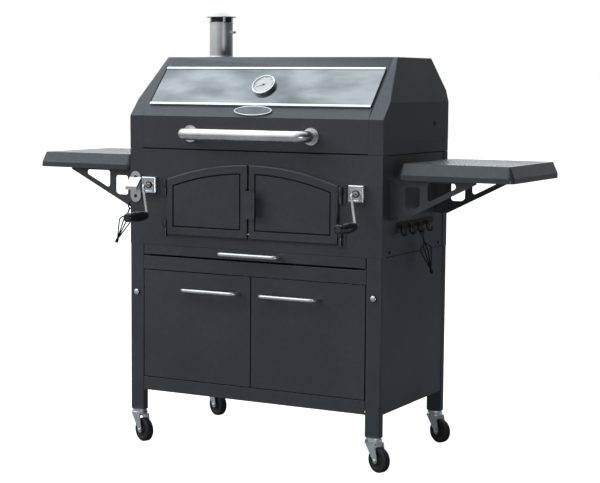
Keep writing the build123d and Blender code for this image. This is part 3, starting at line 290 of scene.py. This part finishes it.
# ------------------------------------------------------------------ mesh helpers
def place(name, shape, body_name, mat, soft=0.0):
    """Turns a bmesh into a piece that rides on a body."""
    bmesh.ops.recalc_face_normals(shape, faces=shape.faces)
    data = bpy.data.meshes.new(name)
    shape.to_mesh(data)
    shape.free()
    data.materials.append(mat)
    data.shade_smooth()
    data.set_sharp_from_angle(angle=math.radians(35))
    obj = bpy.data.objects.new(name, data)
    scene.collection.objects.link(obj)
    if soft:
        edge = obj.modifiers.new("soft_edges", "BEVEL")
        edge.width = soft
        edge.segments = 2
    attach(obj, body_name)


def lathe(name, profile, spots, body_name, mat,
          ring=False, wide=None, oval=0.0, steps=36):
    """Turned piece at each (origin, axis): the profile's (radius, height) points, swept round.

    A ring's profile closes on itself. An oval's radius across wide is smaller by oval.
    """
    shape = bmesh.new()
    turns = [2 * math.pi * i / steps for i in range(steps)]
    for origin, axis in spots:
        axis = Vector(axis).normalized()
        first = Vector(wide) if wide else axis.orthogonal().normalized()
        second = axis.cross(first)
        rows = []
        for radius, height in profile:
            centre = Vector(origin) + axis * height
            if radius == 0:
                rows.append([shape.verts.new(centre)])
                continue
            rows.append([
                shape.verts.new(
                    centre + first * radius * math.cos(a) + second * (radius - oval) * math.sin(a)
                )
                for a in turns
            ])
        pairs = list(zip(rows, rows[1:])) + ([(rows[-1], rows[0])] if ring else [])
        for low, high in pairs:
            for i in range(steps):
                j = (i + 1) % steps
                loop = [low[i % len(low)], low[j % len(low)],
                        high[j % len(high)], high[i % len(high)]]
                shape.faces.new(list(dict.fromkeys(loop)))
    place(name, shape, body_name, mat)


def slab(name, outlines, rise, body_name, mat, soft=0.0003):
    """Flat pieces: each outline of corners is raised by rise."""
    shape = bmesh.new()
    for outline in outlines:
        low = [shape.verts.new(Vector(c)) for c in outline]
        high = [shape.verts.new(Vector(c) + Vector(rise)) for c in outline]
        shape.faces.new(low)
        shape.faces.new(high)
        for i in range(len(low)):
            j = (i + 1) % len(low)
            shape.faces.new((low[i], low[j], high[j], high[i]))
    place(name, shape, body_name, mat, soft)


def thicken(shape, by):
    """Closes a sheet into a thin solid, its far side moved by a vector."""
    sheet, rim = list(shape.faces), [edge for edge in shape.edges if len(edge.link_faces) == 1]
    shape.verts.index_update()
    far = [shape.verts.new(vert.co + by) for vert in list(shape.verts)]
    for face in sheet:
        shape.faces.new([far[vert.index] for vert in reversed(face.verts)])
    for edge in rim:
        a, b = edge.verts
        shape.faces.new((a, b, far[b.index], far[a.index]))


def facing_polygons(node, toward):
    return [p for p in nodes[node].data.polygons if p.normal.dot(toward) > 0.97]


def flat_end(node, toward):
    """Centre of a node's outermost flat in a direction."""
    flats = facing_polygons(node, toward)
    far = max(p.center.dot(toward) for p in flats)
    flats = [p for p in flats if far - p.center.dot(toward) < 0.0003]
    return sum((p.center * p.area for p in flats), Vector()) / sum(p.area for p in flats)


def reach(node, origin, axis, within):
    """How far a node goes along an axis, measured on its vertices near that axis."""
    spans = []
    for vertex in nodes[node].data.vertices:
        along = (vertex.co - origin).dot(axis)
        if (vertex.co - origin - axis * along).length < within:
            spans.append(along)
    return min(spans), max(spans)


def dome(radius, height):
    """Profile of a low domed head, from the middle of its flat underside to its crown."""
    return [(0, 0.0), (radius, 0.0), (radius, 0.25 * height), (0.86 * radius, 0.62 * height),
            (0.5 * radius, 0.9 * height), (0, height)]


def bead(radius, height, thick):
    """Profile of a round wire bent into a ring."""
    turns = [math.pi * i / 5 for i in range(10)]
    return [(radius + thick * math.cos(a), height + thick * math.sin(a)) for a in turns]


def flat_box(low, high, z):
    """Level rectangle at height z, between two (x, y) corners."""
    return [(low[0], low[1], z), (high[0], low[1], z), (high[0], high[1], z), (low[0], high[1], z)]


# ------------------------------------------------------------------ shared measures
joints = {joint["name"]: joint for joint in frame["joints"]}
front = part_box("firebox_front")[0].y
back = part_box("firebox_back")[1].y
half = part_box("firebox_front")[1].x
across_x = Vector((1, 0, 0))
glass_face = max(nodes["hood_window"].data.polygons, key=lambda p: p.area)
slope_out = glass_face.normal if glass_face.normal.z > 0 else -glass_face.normal
slope_up = slope_out.cross(across_x)


def on_slope(degrees):
    """Direction in the hood's sloping face, turned up from its right."""
    turn = math.radians(degrees)
    return across_x * math.cos(turn) + slope_up * math.sin(turn)


# ------------------------------------------------------------------ lid thermometer
dial = flat_end("thermometer", slope_out)
dial_at = [(dial, slope_out)]
case = [(0.0377, -0.004), (0.0377, 0.0004), (0.0366, 0.0014),
        (0.035, 0.0014), (0.0333, 0.0002), (0.0333, -0.0018)]
lathe("dial_rim", case, dial_at, "hood", chrome, ring=True, steps=64)
dial_disc = [(0, -0.0013), (0.0334, -0.0013), (0.0334, -0.0019), (0, -0.0019)]
lathe("dial_face", dial_disc, dial_at, "hood", dial_grey, steps=64)

tick_count, first_tick, tick_turn = 31, 225, 9
tick_base = dial - slope_out * 0.0014
ticks = []
for step in range(tick_count):
    long_tick = step % 5 == 0
    spoke = on_slope(first_tick - tick_turn * step)
    flank = spoke.cross(slope_out) * (0.0005 if long_tick else 0.00028)
    inner = tick_base + spoke * (0.0255 if long_tick else 0.028)
    outer = tick_base + spoke * 0.031
    ticks.append((inner + flank, outer + flank, outer - flank, inner - flank))
slab("dial_ticks", ticks, slope_out * 0.00025, "hood", black_ink_and_shade, soft=0.0)

pointer_angle, pointer_tail, pointer_tip = 205, 0.006, 0.026
tail_width, tip_width = 0.0011, 0.0003
spoke = on_slope(pointer_angle)
flank = spoke.cross(slope_out)
base = dial - slope_out * 0.0009
needle = (
    base - spoke * pointer_tail + flank * tail_width,
    base + spoke * pointer_tip + flank * tip_width,
    base + spoke * pointer_tip - flank * tip_width,
    base - spoke * pointer_tail - flank * tail_width,
)
slab("dial_pointer", [needle], slope_out * 0.0004, "hood", black_ink_and_shade, soft=0.0)
hub_at = [(dial - slope_out * 0.0012, slope_out)]
lathe("dial_hub", dome(0.0032, 0.0016), hub_at, "hood", black_ink_and_shade)

# ------------------------------------------------------------------ badge
# bright rim round a blank dark inset
badge_at = [(flat_end("badge_plate", slope_out), slope_out)]
badge_narrower = 0.046
oval_rim = [(0.0652, -0.0035), (0.0652, 0.0003), (0.0644, 0.001),
            (0.063, 0.001), (0.062, 0.0002), (0.062, -0.0008)]
lathe("badge_rim", oval_rim, badge_at, "hood", chrome,
      ring=True, wide=across_x, oval=badge_narrower, steps=72)
oval_disc = [(0, 0.0004), (0.0622, 0.0003), (0.0622, -0.0004), (0, -0.0004)]
lathe("badge_inset", oval_disc, badge_at, "hood", badge_inset,
      wide=across_x, oval=badge_narrower, steps=72)

# ------------------------------------------------------------------ cranks, bolts and opener
# black ring round each crank's collar: painted shade of the shaft hole
hole_shade_ring = [(0.0082, -0.001), (0.0112, -0.001), (0.0112, 0.0008), (0.0098, 0.0018), (0.0082, 0.0018)]
collars = []
for side, _ in sides:
    at = Vector(joints[f"crank_turn_{side}"]["pos_m"])
    collars.append(((at.x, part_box("crank_bezels")[0].y, at.z), (0, -1, 0)))
lathe("crank_hole_shade", hole_shade_ring, collars, "frame", black_ink_and_shade, ring=True)

# domed caps on the front leg bolts
bolt_x, bolt_left_z, bolt_right_z = 0.415, 0.480, 0.516
bolt_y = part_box("frame_bolts")[0].y
caps = [((x, bolt_y, z), (0, -1, 0)) for x, z in ((-bolt_x, bolt_left_z), (bolt_x, bolt_right_z))]
lathe("leg_bolt_caps", dome(0.0088, 0.0034), caps, "frame", chrome)

# the bottle opener's countersunk screws, their black heads painted shade of the screw holes
plate_low, plate_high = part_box("bottle_opener")
plate_x = (plate_low.x + plate_high.x) / 2
screw = [(0, 0.0002), (0.0022, 0.0002), (0.0026, 0.0009),
         (0.0056, 0.0007), (0.0062, -0.0002), (0, -0.0002)]
screw_inset, plate_thick = 0.019, 0.004
heads = [
    ((plate_x, front - plate_thick, z), (0, -1, 0))
    for z in (plate_low.z + screw_inset, plate_high.z - screw_inset)
]
lathe("opener_screws_hole_shade", screw, heads, "frame", black_ink_and_shade)

# ------------------------------------------------------------------ casters
# hubs on the wheels, axle heads on the forks, bright race rings under the plates
hub = [(0.0145, -0.0005), (0.0145, 0.0008), (0.012, 0.0022),
       (0.0055, 0.0022), (0.0045, 0.0012), (0.0045, -0.0005)]
race = [(0.0242, -0.0025), (0.0256, -0.0035), (0.0256, -0.0065), (0.0242, -0.0075)]


def both_ends(node, origin, axis, within, sunk):
    """Spots at both ends of a node on an axis, each facing out and sunk by a little."""
    low, high = reach(node, origin, axis, within)
    return [(origin + axis * (high - sunk), axis), (origin + axis * (low + sunk), -axis)]


for corner in corners:
    at = Vector(joints[f"wheel_roll_{corner}"]["pos_m"])
    axis = Vector(joints[f"wheel_roll_{corner}"]["axis"]).normalized()
    hubs = both_ends(f"caster_wheel_{corner}", at, axis, 0.03, 0.003)
    lathe(f"wheel_hub_{corner}", hub, hubs, f"wheel_{corner}", rubber, ring=True)
    heads = both_ends(f"caster_fork_{corner}", at, axis, 0.007, 0.0002)
    lathe(f"axle_heads_{corner}", dome(0.0068, 0.0032), heads, f"swivel_{corner}", zinc,
          steps=6)
    pin = [(Vector(joints[f"caster_swivel_{corner}"]["pos_m"]), (0, 0, 1))]
    lathe(f"race_ring_{corner}", race, pin, f"swivel_{corner}", chrome, ring=True)

# ------------------------------------------------------------------ chimney
pipe_low, pipe_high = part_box("chimney")
pipe = Vector(((pipe_low.x + pipe_high.x) / 2, (pipe_low.y + pipe_high.y) / 2, 0))
pipe_at = [(pipe, (0, 0, 1))]
hood_roof = pipe_low.z

# rolled beads at the foot, the pipe's rim and the cap
beads = (
    ("chimney_foot_bead", bead(0.0385, hood_roof + 0.0035, 0.0022), steel_z),
    ("chimney_rim_bead", bead(0.0384, hood_roof + 0.1125, 0.0015), chrome),
    ("chimney_cap_bead", bead(0.0482, pipe_high.z - 0.017, 0.0013), chrome),
)
for name, profile, mat in beads:
    lathe(name, profile, pipe_at, "hood", mat, ring=True, steps=64)

# painted shade: a dark ring behind the vent posts, where the pipe's inside is in shade
screen_low, screen_high = hood_roof + 0.1085, hood_roof + 0.1335
vent_shade_ring = [(0.0335, screen_low), (0.0335, screen_high), (0.0325, screen_high), (0.0325, screen_low)]
lathe("chimney_vent_shade", vent_shade_ring, pipe_at, "hood", body_dark, ring=True)

# riveted seam down the pipe's back
seam_y, seam_half = pipe.y + 0.0378, 0.004
seam_low, seam_high = hood_roof + 0.003, hood_roof + 0.11
seam = [
    (pipe.x - seam_half, seam_y, seam_low), (pipe.x + seam_half, seam_y, seam_low),
    (pipe.x + seam_half, seam_y, seam_high), (pipe.x - seam_half, seam_y, seam_high),
]
slab("chimney_seam", [seam], (0, 0.0011, 0), "hood", steel_z)
rivets = [((pipe.x, seam_y + 0.001, hood_roof + z), (0, 1, 0)) for z in (0.02, 0.055, 0.09)]
lathe("chimney_rivets", dome(0.003, 0.0016), rivets, "hood", chrome)

# the damper's knob
lever_low, lever_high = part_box("chimney_damper")
knob_at = (lever_high.x - 0.0015, pipe.y, (lever_low.z + lever_high.z) / 2)
knob = [(0, -0.005), (0.0045, -0.004), (0.0062, 0.0), (0.0045, 0.004), (0, 0.005)]
lathe("damper_knob", knob, [(knob_at, (0, 0, 1))], "damper", chrome)

# ------------------------------------------------------------------ hood sides
# stiffening bead and cable grommet
bead_low, bead_high, bead_inset = 0.9718, 0.9742, 0.016
grommet_y, grommet_z = 0.207, 1.0206
grommet = [(0.004, -0.001), (0.0085, -0.001), (0.0085, 0.001),
           (0.007, 0.002), (0.0045, 0.002), (0.004, 0.001)]
for side, sign in sides:
    low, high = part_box(f"hood_side_{side}")
    edge = high.x if sign > 0 else low.x
    bead_x, near, far = edge - sign * 0.0004, front + bead_inset, back - bead_inset
    strip = [(bead_x, near, bead_low), (bead_x, far, bead_low),
             (bead_x, far, bead_high), (bead_x, near, bead_high)]
    slab(f"hood_bead_{side}", [strip], (sign * 0.0014, 0, 0), "hood", body)
    lathe(f"grommet_{side}", grommet, [((edge, grommet_y, grommet_z), (sign, 0, 0))],
          "hood", black_ink_and_shade, ring=True)

# ------------------------------------------------------------------ seams
# dark lid gasket just inside the rim's walls, made near black so it also paints the shade in the
# lid's gap
rim_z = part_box("firebox_side_left")[1].z + 0.0003
lid_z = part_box("firebox_front")[1].z + 0.0036
gasket_end, gasket_inner = half - 0.003, half - 0.014
front_near, front_far = front + 0.01, front + 0.02
back_near, back_far = back - 0.02, back - 0.01
bands = (
    ((-gasket_end, front_near), (gasket_end, front_far)),
    ((-gasket_end, back_near), (gasket_end, back_far)),
    ((-gasket_end, front_far), (-gasket_inner, back_near)),
    ((gasket_inner, front_far), (gasket_end, back_near)),
)
strips = [flat_box(low, high, rim_z) for low, high in bands]
slab("lid_gasket_gap_shade", strips, (0, 0, lid_z - rim_z), "frame", seal_and_shade_black)

# painted shade: a dark strip inside each side's seam under the firebox
low_z, high_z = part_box("cabinet_side_left")[1].z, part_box("firebox_side_left")[0].z
seam_shades = [
    flat_box((sign * (half - 0.016), front + 0.03), (sign * (half - 0.0028), back - 0.03),
             low_z - 0.0002)
    for _, sign in sides
]
slab("side_seam_shade", seam_shades, (0, 0, high_z - low_z), "frame", seal_and_shade_black)

# black rubber along both ends of the window's glass
pane = flat_end("hood_window", slope_out)
pane_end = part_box("hood_window")[1].x
run = slope_up * 0.0705
ends = []
for _, sign in sides:
    near, far = across_x * sign * pane_end, across_x * sign * (pane_end + 0.0032)
    ends.append((pane + near - run, pane + far - run, pane + far + run, pane + near + run))
slab("window_rubber", ends, slope_out * -0.0026, "hood", seal_and_shade_black)

# painted shade: a black strip behind the seam of the stoking doors
lap_low, lap_high = 0.684, 0.868
lap_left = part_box("fire_door_left")[1].x - 0.006
lap_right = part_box("fire_door_right")[0].x - 0.0004
lap_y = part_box("fire_door_left")[1].y - 0.0005
seam_shade_sheet = [(lap_left, lap_y, lap_low), (lap_left, lap_y, lap_high),
       (lap_right, lap_y, lap_high), (lap_right, lap_y, lap_low)]
slab("door_seam_shade", [seam_shade_sheet], (0, 0.0012, 0), "stoking_door_left", seal_and_shade_black)

# painted shade: a black sheet in the pressed groove of each stoking door
groove_least, groove_most = 0.004, 0.0048
groove_shade_lift = Vector((0, 0.0003, 0))
door_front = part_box("fire_door_left")[0].y
for side, _ in sides:
    shape = bmesh.new()
    vertices = nodes[f"fire_door_{side}"].data.vertices
    for polygon in facing_polygons(f"fire_door_{side}", Vector((0, -1, 0))):
        if groove_least < polygon.center.y - door_front < groove_most:
            spots = [vertices[i].co - groove_shade_lift for i in polygon.vertices]
            shape.faces.new([shape.verts.new(spot) for spot in spots])
    bmesh.ops.remove_doubles(shape, verts=shape.verts, dist=0.00001)
    thicken(shape, Vector((0, 0.0002, 0)))
    place(f"groove_shade_{side}", shape, f"stoking_door_{side}", seal_and_shade_black)

# ------------------------------------------------------------------ grips and hooks
# cap over the recess at each grip's outer end
grip_cap = [(0, 0.0), (0.003, 0.0), (0.0034, 0.0004), (0.0084, 0.0004), (0.0089, -0.001),
            (0, -0.001)]
for side, _ in sides:
    at = Vector(joints[f"grip_spin_{side}"]["pos_m"])
    end = (at.x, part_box(f"crank_grip_{side}")[0].y + 0.0003, at.z)
    lathe(f"grip_cap_{side}", grip_cap, [(end, (0, -1, 0))], f"grip_{side}", dark_steel)

# black sleeves on the tool hooks' risers
hook_pitch = 0.0624
hook_x, hook_y, hook_z = joints["lifter_swing_right"]["pos_m"]
sleeves = []
for _, sign in sides:
    for step in (-2, -1, 0, 1):
        riser = (sign * (hook_x - 0.007), hook_y + hook_pitch * step, hook_z + 0.005)
        sleeves.append((riser, (0, 0, 1)))
sleeve = [(0.0034, 0.0), (0.0052, 0.0), (0.006, 0.0012),
          (0.006, 0.0168), (0.0052, 0.018), (0.0034, 0.018)]
lathe("hook_sleeves", sleeve, sleeves, "frame", black_ink_and_shade, ring=True, steps=20)

# ------------------------------------------------------------------ side shelves
# rows of small pressed dimples
dimple_inset, dimple_pitch = 0.03, 0.014
dimple = [(0, 0.0), (0.0042, 0.0), (0.0034, 0.0005), (0.0016, 0.0007), (0, 0.0008)]
for side, _ in sides:
    low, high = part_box(f"side_shelf_{side}")
    middle = (low + high) / 2
    columns = int((high.x - low.x - 2 * dimple_inset) / dimple_pitch)
    rows = int((high.y - low.y - 2 * dimple_inset) / dimple_pitch)
    spots = []
    for i in range(columns + 1):
        for j in range(rows + 1):
            x = middle.x + (i - columns / 2) * dimple_pitch
            y = middle.y + (j - rows / 2) * dimple_pitch
            spots.append(((x, y, high.z - 0.0001), (0, 0, 1)))
    lathe(f"shelf_dimples_{side}", dimple, spots, "frame", shelf, steps=10)

# ------------------------------------------------------------------ small fasteners
# on the shelf brackets and the back panel
bracket_low, bracket_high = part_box("shelf_brackets")
flange_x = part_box("firebox_side_right")[1].x + 0.0018
screws = []
for _, sign in sides:
    for y in (bracket_low.y + 0.045, bracket_high.y - 0.012):
        for z in (0.775, 0.845):
            screws.append(((sign * flange_x, y, z), (sign, 0, 0)))
back_low, back_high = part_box("cabinet_back")
for x in (-0.36, -0.12, 0.12, 0.36):
    for z in (back_low.z + 0.02, back_high.z - 0.02):
        screws.append(((x, back_high.y - 0.0002, z), (0, 1, 0)))
lathe("panel_screws", dome(0.0042, 0.0024), screws, "frame", dark_steel, steps=20)

# ------------------------------------------------------------------ stage
bpy.ops.mesh.primitive_plane_add(size=40, location=(0, 6, 0))
ground = bpy.context.object
ground.name = "ground"
floor_mat, floor_tree, floor_shader = material("pale_floor")
floor_fac = noise(floor_tree, coords(floor_tree), 3.0, 3.0)
floor_pale = blend_colour(floor_tree, floor_fac, (0.86, 0.86, 0.86), (0.9, 0.9, 0.9))
floor_tree.links.new(floor_pale, floor_shader.inputs["Base Color"])
floor_shader.inputs["Roughness"].default_value = 0.9
floor_shader.inputs["Specular IOR Level"].default_value = 0.0
# the floor reads white to the camera, and throws little light back up at the cart
floor_glow = add(floor_tree, "Emission", Color=(1, 1, 1, 1), Strength=0.95)
floor_dull = add(floor_tree, "BsdfDiffuse", Color=(0.2, 0.21, 0.22, 1))
floor_pile = add(floor_tree, "AddShader")
floor_tree.links.new(floor_glow.outputs[0], floor_pile.inputs[0])
floor_seen = add(floor_tree, "MixShader", Fac=0.45)
floor_tree.links.new(floor_shader.outputs[0], floor_seen.inputs[2])
floor_black = add(floor_tree, "BsdfDiffuse", Color=(0, 0, 0, 1))
floor_tree.links.new(floor_black.outputs[0], floor_seen.inputs[1])
floor_tree.links.new(floor_seen.outputs[0], floor_pile.inputs[1])
floor_rays = add(floor_tree, "LightPath")
floor_mix = add(floor_tree, "MixShader")
floor_tree.links.new(floor_rays.outputs["Is Camera Ray"], floor_mix.inputs[0])
floor_tree.links.new(floor_dull.outputs[0], floor_mix.inputs[1])
floor_tree.links.new(floor_pile.outputs[0], floor_mix.inputs[2])
floor_out = next(n for n in floor_tree.nodes if n.type == "OUTPUT_MATERIAL")
floor_tree.links.new(floor_mix.outputs[0], floor_out.inputs["Surface"])
ground.data.materials.append(floor_mat)

# soft sky: bluish and bright overhead, pale at the horizon, white where the camera sees it
world = bpy.data.worlds.new("studio")
scene.world = world
world.use_nodes = True
sky = world.node_tree
sky.nodes.clear()
sky_out = sky.nodes.new("ShaderNodeOutputWorld")
sky_at = add(sky, "TexCoord")
sky_split = add(sky, "SeparateXYZ")
sky.links.new(sky_at.outputs["Generated"], sky_split.inputs[0])
sky_height = ramp(sky, sky_split.outputs[2], 0.0, 1.0, 0.0, 0.8)
sky_light = add(sky, "Background")
sky_tint = blend_colour(sky, sky_height, (0.62, 0.62, 0.60), (1.0, 1.1, 1.22))
sky.links.new(sky_tint, sky_light.inputs["Color"])
# darker towards the right
sky_side = ramp(sky, sky_split.outputs[0], 1.25, 0.05, -0.5, 0.7)
# a brighter patch low down at the back left, where the shelves' tops mirror it
sky_back = math_node(sky, "MULTIPLY", sky_split.outputs[1], 0.88)
sky_left = math_node(sky, "MULTIPLY", sky_split.outputs[0], -0.47)
sky_patch = ramp(sky, math_node(sky, "ADD", sky_back, sky_left), 0.0, 1.5, 0.8, 0.98)
sky_power = math_node(sky, "MULTIPLY", ramp(sky, sky_height, 0.66, 1.55), sky_side)
sky.links.new(math_node(sky, "ADD", sky_power, sky_patch), sky_light.inputs["Strength"])
sky_white = add(sky, "Background", Color=(1, 1, 1, 1), Strength=1.0)
sky_rays = add(sky, "LightPath")
sky_mix = add(sky, "MixShader")
sky.links.new(sky_rays.outputs["Is Camera Ray"], sky_mix.inputs[0])
sky.links.new(sky_light.outputs[0], sky_mix.inputs[1])
sky.links.new(sky_white.outputs[0], sky_mix.inputs[2])
sky.links.new(sky_mix.outputs[0], sky_out.inputs["Surface"])


def softbox(name, spot, aim, size, power, mirrored=False):
    """Area light of a width and height, at spot and turned to aim."""
    light = bpy.data.lights.new(name, "AREA")
    light.shape = "RECTANGLE"
    light.size, light.size_y = size
    light.energy = power
    lamp = bpy.data.objects.new(name, light)
    lamp.location = spot
    lamp.visible_glossy = mirrored
    lamp.rotation_euler = (Vector(aim) - Vector(spot)).to_track_quat("-Z", "Y").to_euler()
    scene.collection.objects.link(lamp)


softbox("key_left", (-3.4, -2.4, 3.0), (0, 0, 0.8), (2.0, 1.2), 70)
softbox("fill_right", (3.2, -2.6, 0.35), (0.4, 0, 0.4), (0.9, 0.7), 16, mirrored=True)
softbox("top", (-0.7, 0.0, 3.8), (0, 0, 0.9), (2.4, 1.6), 40)

# ------------------------------------------------------------------ camera
yaw, pitch, roll = math.radians(28.16), math.radians(5.76), math.radians(0.44)
camera_x, camera_y_from_middle, camera_z = 2.3842, -4.3774, 1.1446
ahead = Vector((
    -math.sin(yaw) * math.cos(pitch), math.cos(yaw) * math.cos(pitch), -math.sin(pitch)
))
right = Vector((math.cos(yaw), math.sin(yaw), 0))
up = right.cross(ahead)
across = math.cos(roll) * right + math.sin(roll) * up
upward = -math.sin(roll) * right + math.cos(roll) * up
turned = Matrix((across, upward, -ahead)).transposed().to_4x4()
lens = bpy.data.cameras.new("camera")
lens.sensor_width = 36
lens.lens = 94.67
camera = bpy.data.objects.new("camera", lens)
scene.collection.objects.link(camera)
camera_y = camera_y_from_middle + (front + back) / 2
camera.matrix_world = Matrix.Translation((camera_x, camera_y, camera_z)) @ turned
scene.camera = camera
